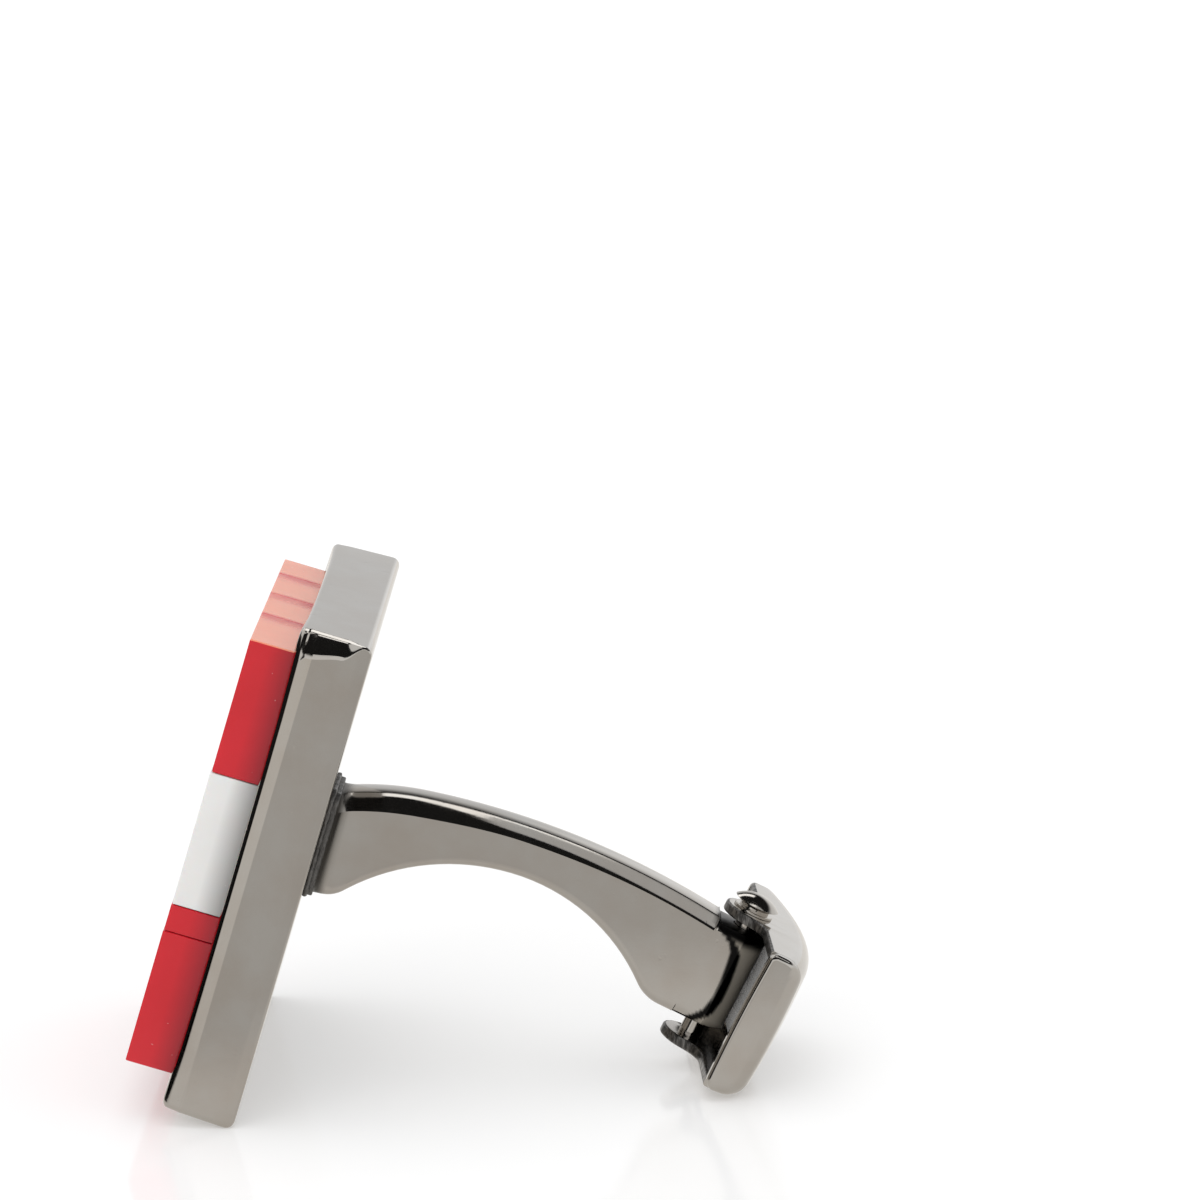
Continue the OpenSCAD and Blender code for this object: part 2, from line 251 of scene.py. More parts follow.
class Shader(Nodes):
    """A material's nodes."""

    def __init__(self, name):
        self.material = bpy.data.materials.new(name)
        self.material.use_nodes = True
        super().__init__(self.material.node_tree)
        self.surface = self.tree.nodes["Principled BSDF"]
        self.place = self.node("ShaderNodeTexCoord").outputs["Object"]

    def noise(self, per_mm, detail=3.0, roughness=0.55, stretch=(1, 1, 1)):
        """Noise whose grain is given in waves per millimetre."""
        mapping = self.node("ShaderNodeMapping")
        mapping.inputs["Scale"].default_value = [per_mm / MM * s for s in stretch]
        self.put(mapping.inputs["Vector"], self.place)
        made = self.node("ShaderNodeTexNoise")
        made.inputs["Scale"].default_value = 1
        made.inputs["Detail"].default_value = detail
        made.inputs["Roughness"].default_value = roughness
        self.put(made.inputs["Vector"], mapping.outputs["Vector"])
        return made.outputs["Fac"]

    def blend(self, amount, a, b):
        """A colour between a and b."""
        made = self.node("ShaderNodeMix", data_type="RGBA")
        self.put(made.inputs["Factor"], amount)
        self.put(made.inputs[6], a)
        self.put(made.inputs[7], b)
        return made.outputs[2]

    def bump(self, height, depth_mm, before=None):
        made = self.node("ShaderNodeBump")
        made.inputs["Strength"].default_value = 1
        made.inputs["Distance"].default_value = depth_mm * MM
        self.put(made.inputs["Height"], height)
        if before is not None:
            self.put(made.inputs["Normal"], before)
        return made.outputs["Normal"]

    def marked(self, name):
        """What the mesh's vertices were marked with under that name."""
        return self.node("ShaderNodeAttribute", attribute_name=name).outputs["Fac"]

    def finish(self, **sockets):
        for key, value in sockets.items():
            self.put(self.surface.inputs[key.replace("_", " ")], value)
        return self.material


GUNMETAL = (0.405, 0.388, 0.362)
GUNMETAL_WARM = (0.382, 0.353, 0.320)
# Painted shade: near black. Below it, a non-metal grey for a painted reflection band.
GUNMETAL_SHADE = (0.012, 0.0115, 0.011)
GUNMETAL_REFLECTION_GREY = (0.44, 0.40, 0.335)
GUNMETAL_ROUGH = (0.07, 0.13)
GUNMETAL_BUMP = 0.0006
SHEARED_DARK = (0.06, 0.058, 0.055)
SHEARED_LIGHT = (0.26, 0.25, 0.24)
# Each resin's third colour is a painted shade near the tray
RED, RED_DEEP, RED_TRAY_SHADE = (0.66, 0.012, 0.025), (0.60, 0.010, 0.020), (0.40, 0.010, 0.022)
# The first red here is a painted sheen on the blocks' upper faces; the second is the dark by the joints, laid over
# that sheen
RED_SHEEN, RED_SEAM = (1.0, 0.335, 0.205), (0.74, 0.16, 0.17)
WHITE, WHITE_DEEP, WHITE_TRAY_SHADE = (0.86, 0.855, 0.84), (0.83, 0.82, 0.80), (0.42, 0.41, 0.40)
DUST = (0.9, 0.8, 0.8)
SOLDER_DARK = (0.0935, 0.09075, 0.088)
SOLDER = (0.17, 0.165, 0.16)
# Painted shade: the spring's colours, near black
SPRING_SHADE_DARK = (0.045, 0.048, 0.055)
SPRING_SHADE = (0.085, 0.09, 0.10)
GLUE_DARK, GLUE = (0.62, 0.56, 0.38), (0.75, 0.70, 0.52)
# The part of a block's depth over which painted shade darkens it toward the tray
TRAY_SHADE_FROM, TRAY_SHADE_TO = 0.28, 0.62


def make_gunmetal():
    """Polished gunmetal plating: faint clouding, hairline scratches and a few pin marks.
    The mesh marks where shade is painted, which turns the metal near black, and where a reflection band is
    painted, which turns it a non-metal grey."""
    s = Shader("gunmetal")
    clouds = s.spread(s.noise(0.45, 4), 0.35, 0.65)
    hairs = s.noise(3.0, 2, 0.6, stretch=(0.15, 1, 1.6))
    grain = s.noise(9.0, 3)
    pits = s.spread(s.noise(2.2, 2), 0.7, 0.76)
    normal = s.bump(hairs, GUNMETAL_BUMP)
    normal = s.bump(grain, GUNMETAL_BUMP, normal)
    normal = s.bump(pits, -4 * GUNMETAL_BUMP, normal)
    roughness = s.spread(s.noise(1.1, 4), 0.3, 0.7, *GUNMETAL_ROUGH)
    painted_shade, painted_grey = s.marked("painted_shade"), s.marked("painted_grey")
    colour = s.blend(clouds, GUNMETAL, GUNMETAL_WARM)
    colour = s.blend(painted_shade, colour, GUNMETAL_SHADE)
    # Where a reflection band is painted, the metal turns a non-metal grey
    return s.finish(
        Base_Color=s.blend(painted_grey, colour, GUNMETAL_REFLECTION_GREY),
        Metallic=s.math("SUBTRACT", 1.0, s.times(painted_grey, 0.9)),
        Roughness=s.math("ADD", roughness, s.times(painted_shade, 0.25)),
        Normal=normal,
    )


def make_sheared_edge():
    """The cut edge of plated sheet, scored across its thickness by the shear."""
    s = Shader("sheared_edge")
    score = s.noise(6.0, 3, 0.7, stretch=(1, 1, 0.12))
    return s.finish(
        Base_Color=s.blend(s.spread(score, 0.4, 0.65), SHEARED_DARK, SHEARED_LIGHT),
        Metallic=1.0,
        Roughness=s.spread(score, 0.3, 0.7, 0.42, 0.28),
        Normal=s.bump(score, 0.02),
    )


def make_resin(name, colour, deep, tray_shade, painted_sheen=None, seam=None):
    """Polished cast resin, clouded between two colours, with dust specks. It darkens to a painted shade near the
    tray.
    The mesh marks upper faces, which get a painted sheen, and the dark by their joints (seam), laid over that
    sheen."""
    s = Shader(name)
    base = s.blend(s.spread(s.noise(0.3, 3), 0.35, 0.7), colour, deep)
    base = s.blend(s.spread(s.marked("depth"), TRAY_SHADE_FROM, TRAY_SHADE_TO), base, tray_shade)
    roughness = s.spread(s.noise(0.9, 4), 0.3, 0.7, 0.13, 0.22)
    if painted_sheen:
        base = s.blend(s.marked("painted_sheen"), base, painted_sheen)
        by_joint = s.times(s.marked("seam"), s.spread(s.noise(0.8, 3), 0.3, 0.6, 0.6, 1.0))
        base = s.blend(by_joint, base, seam)
        roughness = s.math("ADD", roughness, s.times(by_joint, 0.22))
    specks = s.spread(s.noise(5.0, 1), 0.77, 0.8)
    base = s.blend(s.times(specks, 0.35), base, DUST)
    normal = s.bump(s.noise(1.3, 3), 0.002)
    normal = s.bump(s.noise(12, 2), 0.0005, normal)
    return s.finish(
        Base_Color=base,
        Roughness=roughness,
        Normal=normal,
        Subsurface_Weight=0.12,
        Subsurface_Scale=0.0006,
        IOR=1.5,
    )


def make_solder():
    """Solder as it set: dull and grainy."""
    s = Shader("solder")
    grain = s.noise(5.0, 5, 0.65)
    return s.finish(
        Base_Color=s.blend(s.spread(grain, 0.35, 0.65), SOLDER_DARK, SOLDER),
        Metallic=1.0,
        Roughness=s.spread(s.noise(2.5, 3), 0.3, 0.7, 0.3, 0.6),
        Normal=s.bump(grain, 0.05),
    )


def make_spring_steel():
    """Leaf-spring steel, brushed along its length, its colour painted near black as shade."""
    s = Shader("spring_steel")
    brush = s.noise(14.0, 3, 0.6, stretch=(1, 0.04, 1))
    return s.finish(
        Base_Color=s.blend(s.spread(brush, 0.3, 0.7), SPRING_SHADE_DARK, SPRING_SHADE),
        Metallic=1.0,
        Roughness=s.spread(brush, 0.3, 0.7, 0.18, 0.34),
        Normal=s.bump(brush, 0.0012),
    )


def make_glue():
    """Set epoxy, slightly yellowed."""
    s = Shader("glue")
    return s.finish(
        Base_Color=s.blend(s.noise(0.8, 3), GLUE_DARK, GLUE),
        Roughness=s.spread(s.noise(2.0, 3), 0.3, 0.7, 0.25, 0.45),
        Normal=s.bump(s.noise(1.6, 3), 0.01),
        Transmission_Weight=0.2,
    )


gunmetal = make_gunmetal()
red_resin = make_resin("red_resin", RED, RED_DEEP, RED_TRAY_SHADE, RED_SHEEN, RED_SEAM)
white_resin = make_resin("white_resin", WHITE, WHITE_DEEP, WHITE_TRAY_SHADE)
sheared_edge = make_sheared_edge()
solder_metal = make_solder()
spring_steel = make_spring_steel()
glue = make_glue()


# Tray: rings of a rounded square, whose corners turn fast at both ends and slowly between

# The near and far side: front edge, bevel, and a narrow bevel and edge at the back
FRONT_EDGE_R, BEVEL_U, BEVEL_IN = 0.25, 0.72, 0.17
BACK_BEVEL_U, BACK_BEVEL_IN, BACK_EDGE_R = 0.42, 0.06, 0.10
# The upper and lower side: only rounded edges
FLAT_FRONT_R, FLAT_BACK_R = 0.20, 0.34
TRAY_FLARE = 0.1
CORNER_R, FAR_UPPER_CORNER_R, POCKET_CORNER_R = 0.24, 0.36, 0.05
# The middle of each side of the rim lies this much further back than the corners
RIM_SAG = 0.12
POCKET_U, POCKET_GAP = 1.2, 0.03
# The pocket's lip, as (depth below the rim, distance out from the pocket)
POCKET_LIP = ((0.12, 0), (0.04, 0.02), (0.0, 0.07))
CORNER_STEPS = 6
SIDE_STEPS = 8

tray_half = (tray_high[1] - tray_low[1]) / 2
tray_t = tray_high[0] - tray_low[0]
block_box = {n: box_in(n, LINK) for n in frame["nodes"] if "_block_" in n}
mosaic_half = max(high[1] for low, high in block_box.values())
pocket_half = mosaic_half + POCKET_GAP


def corner_points(turns):
    """A corner from one side to the next as (inward, along) places back from the square corner.
    turns has (angle from, angle to, radius). A range of angles that it leaves out makes a crease."""
    points, x, y = [], 0.0, 0.0
    for start, end, radius in turns:
        for i in range(CORNER_STEPS):
            a = math.radians(mix(start, end, i / CORNER_STEPS))
            b = math.radians(mix(start, end, (i + 1) / CORNER_STEPS))
            points.append((x, y))
            x += radius * (math.cos(a) - math.cos(b))
            y += radius * (math.sin(b) - math.sin(a))
    points.append((x, y))
    return [(px, y - py) for px, py in points]


def round_corner(radius, parts=3):
    return tuple((90 * i / parts, 90 * (i + 1) / parts, radius) for i in range(parts))


def worn_corner(u):
    """The near upper corner, which the polish wore to a slant between a bright line above and a lip below.
    It narrows toward the back, and the rounded front edge turns its slant toward the near side."""
    fade = mix(1.0, 0.72, smooth((u - 0.5) / 1.3)) * mix(1.0, 0.12, smooth((u - 1.75) / 0.75))
    line_fade = mix(1.0, 0.15, smooth((u - 1.9) / 0.7))
    turned = mix(15, 0, smooth((u - 0.28) / 0.16))
    lip = 73 + 0.47 * turned
    return (
        (12, 18, 2.2 * line_fade),
        (34, 50 + turned, 0.42 * fade),
        (50 + turned, 64 + turned, 3.1 * fade),
        (lip, lip + 4, 2.4 * fade),
        (lip + 6, 90, 0.2 * fade),
    )


def square_ring(u, half_y, half_z, corners, sag=0.0, slope=0.0):
    """One ring of the tray. corners are the far upper, near upper, near lower and far lower one.
    sag sets the middle of each side of the rim back, along the bevel's slope on the near and far side."""
    ring = []
    shapes = [corner_points(turns) for turns in corners]
    for turn, shape in enumerate(shapes):
        c, s = math.cos(turn * math.pi / 2), math.sin(turn * math.pi / 2)
        reach_a, reach_b = (half_y, half_z) if turn % 2 == 0 else (half_z, half_y)
        quarter = [(reach_a - inward, reach_b - along) for inward, along in shape]
        start = shapes[turn - 1][-1][0] - reach_b
        straight = [(reach_a, mix(start, quarter[0][1], i / SIDE_STEPS)) for i in range(1, SIDE_STEPS)]
        for a, b in straight + quarter:
            back = sag * max(1 - (min(abs(a), abs(b)) / reach_b) ** 4, 0)
            out = 1 + back * slope / reach_a if turn % 2 == 0 else 1
            ring.append((u + back, a * out * c - b * s, a * out * s + b * c))
    return ring


def side_half(u):
    return tray_half - TRAY_FLARE * (1 - u / tray_t)


def eased(u, low, high, r_low, r_high):
    """How far rounded edges draw a side in at u, between its two ends."""
    in_low, in_high = max(r_low - (u - low), 0), max(r_high - (high - u), 0)
    return r_low - math.sqrt(r_low ** 2 - in_low ** 2) + r_high - math.sqrt(r_high ** 2 - in_high ** 2)


def beveled_half(u):
    """Half the width across the near and far side."""
    front = BEVEL_IN * max(1 - u / BEVEL_U, 0)
    back = BACK_BEVEL_IN * max(1 - (tray_t - u) / BACK_BEVEL_U, 0)
    return side_half(u) - (front + back) - eased(u, 0, tray_t, FRONT_EDGE_R, BACK_EDGE_R)


def edge_depths(radius):
    """How deep a rounded edge has come at equal steps of its turn."""
    return [radius * (1 - math.cos(math.radians(t))) for t in range(0, 91, 9)]


def tray_rings():
    """From the pocket's bottom over the rim and down the outside."""
    tight = round_corner(POCKET_CORNER_R)
    # The near upper corner has as many turns as the worn one outside
    pocket_corners = (tight, round_corner(POCKET_CORNER_R, 5), tight, tight)
    rings = [square_ring(POCKET_U, pocket_half, pocket_half, pocket_corners)]
    for u, out in POCKET_LIP:
        rings.append(square_ring(u, pocket_half + out, pocket_half + out, pocket_corners, RIM_SAG))
    front = edge_depths(FRONT_EDGE_R)
    back = [tray_t - depth for depth in reversed(edge_depths(BACK_EDGE_R))]
    stations = front + list(np.linspace(FRONT_EDGE_R, BEVEL_U, 8)[1:])
    stations += list(np.linspace(BEVEL_U, tray_t - BACK_BEVEL_U, 20)[1:])
    stations += list(np.linspace(tray_t - BACK_BEVEL_U, back[0], 10)[1:]) + back[1:]
    plain = round_corner(CORNER_R)
    for u in stations:
        flat = side_half(u) - eased(u, 0, tray_t, FLAT_FRONT_R, FLAT_BACK_R)
        corners = (round_corner(FAR_UPPER_CORNER_R), worn_corner(u), plain, plain)
        sag = RIM_SAG * max(1 - u / BEVEL_U, 0)
        rings.append(square_ring(u, beveled_half(u), flat, corners, sag, BEVEL_IN / BEVEL_U))
    return rings


install(make_object("tray_metal", [loft(tray_rings())], LINK), "link", gunmetal, ["base_tray"])
repaint("glue_bed", glue)


# Mosaic blocks: rounded bars with their ends across the face

BLOCK_R = 0.045
# The face is ground at a slight angle: it stands out more at the bottom
FACE_SLOPE = 0.008
# Reach of the dark by a joint, before it and beyond it, and the places where it is worked out
SEAM_NEAR, SEAM_FAR = 1.7, 0.4
SEAM_STEPS = (0.1, 0.2, 0.3, 0.45, 0.6, 0.8, 1.0, 1.2, 1.4, 1.6, 1.85, 2.1)
# A block that ends within this of the mosaic's side has no joint there
AT_SIDE = 1


def bar_ring(v, low, high, inset):
    """The section of a block across the face, drawn in by inset."""
    r = BLOCK_R
    u0, u1, w0, w1 = low[0] + inset, high[0] - inset, low[2] + inset, high[2] - inset
    outline = arc((u0 + r, w1 - r), r, 180, 90, 3) + arc((u1 - r, w1 - r), r, 90, 0, 3)
    outline += arc((u1 - r, w0 + r), r, 0, -90, 3) + arc((u0 + r, w0 + r), r, -90, -180, 3)
    ground = FACE_SLOPE * (mosaic_half - (w0 + w1) / 2)
    return [(u - ground if u < u0 + r + 1e-6 else u, v, w) for u, w in outline]


def by_joint(v, near, far):
    """How dark a place between a block's near and far end is from the joints there."""
    before = 1 - smooth((v - near) / SEAM_FAR) if near > AT_SIDE - mosaic_half else 0
    after = 1 - smooth((far - v) / SEAM_NEAR) if far < mosaic_half - AT_SIDE else 0
    return max(before, after)


def make_block(node, material):
    low, high = block_box[node]
    near, far = low[1], high[1]
    turns = [math.radians(a) for a in (0, 30, 60, 90)]
    half = [(near + BLOCK_R * (1 - math.cos(t)), BLOCK_R * (1 - math.sin(t))) for t in turns]
    half += [(near + d, 0) for d in SEAM_STEPS if BLOCK_R < d < (far - near) / 2]
    stations = half + [(far + near - v, inset) for v, inset in reversed(half)]
    rings = [bar_ring(v, low, high, inset) for v, inset in stations]
    obj = make_object(node + "_resin", [loft(rings)], LINK)
    points = [p for ring in rings for p in ring]
    # Depth into the tray, which the resin turns into painted shade
    mark(obj, "depth", [(u - low[0]) / (high[0] - low[0]) for u, v, w in points])
    if node.startswith("top"):
        # The upper faces of the top row get a painted sheen
        painted_sheen = [1.0 if w > high[2] - BLOCK_R else 0.0 for u, v, w in points]
        mark(obj, "painted_sheen", painted_sheen)
        mark(obj, "seam", [sheen_at * by_joint(v, near, far) for sheen_at, (u, v, w) in zip(painted_sheen, points)])
    install(obj, "link", material, [node], crease=35)


for block in sorted(block_box):
    make_block(block, white_resin if block.startswith("white") else red_resin)


# Post: sections between its upper edge and its underside, which the knuckle ends in a half barrel

POST_HALF = 1.22
TOP_CENTRE, TOP_R = (9.1, -30.9944), 33.8644
TOP_END_U = 18.426
# The underside: an arc rises to the middle, another falls from there and turns back in the heel
MID_U = 10.3
ARCH_FRONT, ARCH_FRONT_R, ARCH_FRONT_FROM = (MID_U, -7.54), 8.399, 139.64
ARCH_BACK, ARCH_BACK_R, ARCH_BACK_TO = (MID_U, -6.806), 7.6666, 39.8
HEEL, HEEL_R, HEEL_FROM, HEEL_TO = (17.4992, -0.8146), 1.7, 219.8, 260
HEEL_STEPS = 12
# Places on the upper edge above the heel's start and end
HEEL_TOP_U, SEAT_TOP_U = 16.85, 17.94
PIN_AT, PIN_TILT = (19.24, -1.02), 10
PIN_R, BORE_R = 0.45, 0.5
EAR_BORE_R = PIN_R + 0.01
KNUCKLE_TOP, KNUCKLE_LOW = 2.25, -1.8
# The seat before the knuckle, as distances back from the pin; the last station is its edge.
# The knuckle's top starts SEAT_STEP above its later height and falls to it over SEAT_FALL.
SEAT_STATIONS = (-1.6, -1.4, -1.17)
SEAT_FROM, SEAT_LENGTH = -1.75, 0.5
SEAT_STEP, SEAT_FALL = 0.15, 0.12
FLANK_FROM, FLANK_TO = -1.14, -0.01
FOOT_U, FOOT_TOP_U, FOOT_HALF_W, FOOT_HALF_H, FOOT_SPREAD = 2.92, 3.14, 1.80, 2.1, 0.58
# Where the foot's even stations end, and where those of the arch start
FOOT_END_U, ARCH_START_U = 4.4, 4.5
FLANGE_TOP_U, FLANGE_R, FLANGE_EDGE_R = FOOT_TOP_U + 0.03, 0.4, 0.06
# The foot's lower end: lowest point, and how fast the underside rises from there to the arch
NOSE, NOSE_RISE = (3.5, -2.03), 0.55
# The front arch counts only behind this
NOSE_END_U = 3.8
# The upper edge dips where it nears the foot
DIP, DIP_FROM, DIP_REACH = 0.28, 6.3, 3.0
UNDER_R, KNUCKLE_UNDER_R = 0.32, 0.4
# The upper edges as (angle from, angle to, length at the foot, on the arch, at the knuckle and on its seat)
EDGE_TURNS = (
    (24, 43, 0.64, 0.26, 0.11, 0.3),
    (43, 52, 0.20, 0.44, 0.56, 0.02),
    (52, 81, 0.03, 0.04, 0.06, 0.02),
    (81, 89, 0.60, 0.60, 0.55, 0.75),
)
EDGE_STEPS, FLAT_STEPS = 6, 24
# The edge changes from the foot's to the arch's form, then slowly to the knuckle's
EDGE_SHIFT, ARCH_SHIFT = (5.4, 10.4), (10.4, 16.5)
# The knuckle's plan behind the pin, from the side: a crease, a corner, a slant and the end
KNUCKLE_CREASE = 0.08
KNUCKLE_TURNS = ((18, 32, 0.5), (32, 40, 3.6), (40, 88, 1.2))
# Where the painted shade starts on the knuckle's side, as (height up the pin, distance back from it)
SHADE_EDGE = ((-2.0, -1.1), (-1.77, -0.71), (-1.5, -0.4), (-1.14, -0.12), (-0.53, 0.0), (0.2, -0.03),
              (0.88, -0.12), (1.35, -0.2), (1.65, -0.4), (1.9, -0.8), (2.05, -1.16), (2.5, -1.19))
# The painted shade starts softly over this, and not before the knuckle's front
SHADE_EDGE_SOFT, SHADE_EDGE_FROM = 0.12, -1.2
# Beyond that edge lies a band of painted black shade, then a painted grey reflection band on the knuckle's end,
# which fades out at the top
PAINTED_BLACK_W, GREY_BAND_TOP, GREY_BAND_FADE = 0.42, 2.0, 0.4
# How dark the painted shade in the foot's hollow is, how far behind the foot it starts to fade, and over which
# length
FOOT_DARK, FOOT_DARK_BEHIND, FOOT_DARK_FADE = 0.85, 0.1, 0.45


def from_pin(p, a):
    """The place that lies p back from the pin and a up along it."""
    t = math.radians(PIN_TILT)
    return (PIN_AT[0] + p * math.cos(t) + a * math.sin(t), PIN_AT[1] - p * math.sin(t) + a * math.cos(t))


def to_pin(u, w):
    """How far back from the pin and how far up along it a place lies."""
    t = math.radians(PIN_TILT)
    x, z = u - PIN_AT[0], w - PIN_AT[1]
    return x * math.cos(t) - z * math.sin(t), x * math.sin(t) + z * math.cos(t)


def top_point(u):
    """The upper edge: a wide arc with a dip near the foot."""
    dip = DIP * (max(DIP_FROM - u, 0) / DIP_REACH) ** 2
    return (u, TOP_CENTRE[1] + math.sqrt(TOP_R ** 2 - (u - TOP_CENTRE[0]) ** 2) - dip)


def upper_edge(share, fit):
    """The upper edge's points from the side inwards, as (inward, down from the top).
    share runs from 0 at the foot to 1 on the arch, 2 at the knuckle and 3 on its seat."""
    points, inward, rise = [], 0.0, 0.0
    for start, end, *lengths in EDGE_TURNS:
        k = min(int(share), len(lengths) - 2)
        step = mix(lengths[k], lengths[k + 1], share - k) / EDGE_STEPS * fit
        for i in range(EDGE_STEPS):
            angle = math.radians(mix(start, end, (i + 0.5) / EDGE_STEPS))
            points.append((inward, rise))
            inward += step * math.sin(angle)
            rise += step * math.cos(angle)
    points.append((inward, rise))
    return [(x, rise - y) for x, y in points]


def post_section(top, under, half, share):
    """A closed ring from the underside's middle up one side and down the other."""
    fit = min(1.0, half / POST_HALF)
    low_r = min(mix(UNDER_R, KNUCKLE_UNDER_R, max(share - 2, 0)), half * 0.6)
    axis = Vector(under) - Vector(top)
    length = axis.length
    axis.normalize()
    side = arc((half - low_r, length - low_r), low_r, 90, 0, 6)
    edge = upper_edge(share, fit)
    side += [(half, mix(side[-1][1], edge[0][1], i / FLAT_STEPS)) for i in range(1, FLAT_STEPS)]
    side += [(half - x, y) for x, y in edge]
    loop = side + [(-x, y) for x, y in reversed(side)]
    return [(top[0] + axis.x * y, x, top[1] + axis.y * y) for x, y in loop]


def underside(u):
    """Height of the foot's nose and of the front arch."""
    nose = NOSE[1] + NOSE_RISE * (u - NOSE[0]) ** 2
    if u <= NOSE_END_U:
        return nose
    return max(nose, ARCH_FRONT[1] + math.sqrt(ARCH_FRONT_R ** 2 - (u - MID_U) ** 2))


def post_stations():
    """(top, underside, half width, share of the way to the knuckle) along the post."""
    found = []
    for a in range(0, 91, 9):
        t = math.radians(a)
        u = FOOT_TOP_U + FOOT_SPREAD * (1 - math.cos(t))
        found.append((top_point(u), (u, underside(u)), POST_HALF + FOOT_SPREAD * (1 - math.sin(t)), 0.0))
    for u in np.linspace(FOOT_TOP_U + FOOT_SPREAD, FOOT_END_U, 6)[1:]:
        found.append((top_point(u), (u, underside(u)), POST_HALF, 0.0))
    under = [q for q in arc(ARCH_FRONT, ARCH_FRONT_R, ARCH_FRONT_FROM, 90, 18) if q[0] > ARCH_START_U]
    under += arc(ARCH_BACK, ARCH_BACK_R, 90, ARCH_BACK_TO, 16)[1:]
    behind_mid = under[-1][0] - MID_U
    top_u = [u if u < MID_U else mix(MID_U, HEEL_TOP_U, (u - MID_U) / behind_mid) for u, w in under]
    under += arc(HEEL, HEEL_R, HEEL_FROM, HEEL_TO, HEEL_STEPS)[1:]
    top_u += [mix(HEEL_TOP_U, SEAT_TOP_U, i / HEEL_STEPS) for i in range(1, HEEL_STEPS + 1)]
    for u, low in zip(top_u, under):
        share = smooth((u - EDGE_SHIFT[0]) / (EDGE_SHIFT[1] - EDGE_SHIFT[0]))
        share += smooth((u - ARCH_SHIFT[0]) / (ARCH_SHIFT[1] - ARCH_SHIFT[0]))
        found.append((top_point(u), low, POST_HALF, share))
    for p in SEAT_STATIONS:
        top = top_point(mix(SEAT_TOP_U, TOP_END_U, (p - SEAT_FROM) / SEAT_LENGTH))
        found.append((top, from_pin(p, KNUCKLE_LOW), POST_HALF, 2.0))
    plan = [(p, POST_HALF) for p in np.linspace(FLANK_FROM, FLANK_TO, 21)]
    turned = corner_points(KNUCKLE_TURNS)
    plan += [(KNUCKLE_CREASE + turned[0][1] - along, POST_HALF - inward) for inward, along in turned]
    seat_edge = SEAT_STATIONS[-1]
    for p, half in plan:
        step = SEAT_STEP * (1 - smooth((p - seat_edge) / SEAT_FALL))
        share = 2 + smooth((p - seat_edge + 0.02) / 0.05)
        found.append((from_pin(p, KNUCKLE_TOP + step), from_pin(p, KNUCKLE_LOW), max(half, 0.03), share))
    return found


def plate_rings(u0, u1, half_w, half_h, corner, edge):
    """A rounded plate square to X, with small rounded edges front and back."""
    def ring(u, inset):
        w, h, r = half_w - inset, half_h - inset, corner - inset
        outline = arc((w - r, h - r), r, 0, 90, 8) + arc((r - w, h - r), r, 90, 180, 8)
        outline += arc((r - w, r - h), r, 180, 270, 8) + arc((w - r, r - h), r, 270, 360, 8)
        return [(u, v, z) for v, z in outline]
    turns = [math.radians(a) for a in (0, 30, 60, 90)]
    rounded = [(edge * (1 - math.sin(t)), edge * (1 - math.cos(t))) for t in turns]
    front = [ring(u0 + back, inset) for back, inset in reversed(rounded)]
    return front + [ring(u1 - back, inset) for back, inset in rounded]


def past_shade_edge(q):
    """How far a point lies behind the edge of the knuckle's painted shade, and its height up the pin."""
    p, a = to_pin(q.x, q.z)
    if p <= SHADE_EDGE_FROM:
        return -1.0, a
    heights, places = zip(*SHADE_EDGE)
    return p - float(np.interp(a, heights, places)), a


def post_painted_shade(q):
    """Painted shade: in the foot's hollow, and on the knuckle past the shade's edge."""
    foot = FOOT_DARK * (1 - smooth((q.x - FOOT_TOP_U - FOOT_DARK_BEHIND) / FOOT_DARK_FADE))
    return max(foot, smooth(past_shade_edge(q)[0] / SHADE_EDGE_SOFT + 0.5))


def post_painted_grey(q):
    """A painted grey reflection band on the knuckle's end, behind the painted black band."""
    beyond, height = past_shade_edge(q)
    return smooth((beyond - PAINTED_BLACK_W) / SHADE_EDGE_SOFT + 0.5) * smooth((GREY_BAND_TOP - height) / GREY_BAND_FADE)


post = make_object("post_metal", [loft([post_section(*s) for s in post_stations()])], LINK)
drill(post, BORE_R, TOGGLE)
post_points = points_of(post, LINK)
# Painted shade on the foot's hollow and the knuckle, then a painted grey reflection band
mark(post, "painted_shade", [post_painted_shade(q) for q in post_points])
mark(post, "painted_grey", [post_painted_grey(q) for q in post_points])
install(post, "link", gunmetal, ["post"])
flange_rings = plate_rings(FOOT_U, FLANGE_TOP_U, FOOT_HALF_W, FOOT_HALF_H, FLANGE_R, FLANGE_EDGE_R)
install(make_object("foot_flange", [loft(flange_rings)], LINK), "link", solder_metal, crease=35)


# Solder: an uneven bead round the foot, and the film under it

# How far the bead's middle lies beside the foot and behind the tray
BEAD_R, BEAD_OUT, BEAD_BACK = 0.10, 0.02, 0.08
BEAD_SPACING = 0.09
# The bead's swelling and its lumps, as waves per millimetre and share of its radius
SWELL_WAVES, SWELL, LUMP_WAVES, LUMPS = 3.1, 0.35, 7, 0.3
FILM_IN, FILM_EDGE_R = 0.02, 0.01


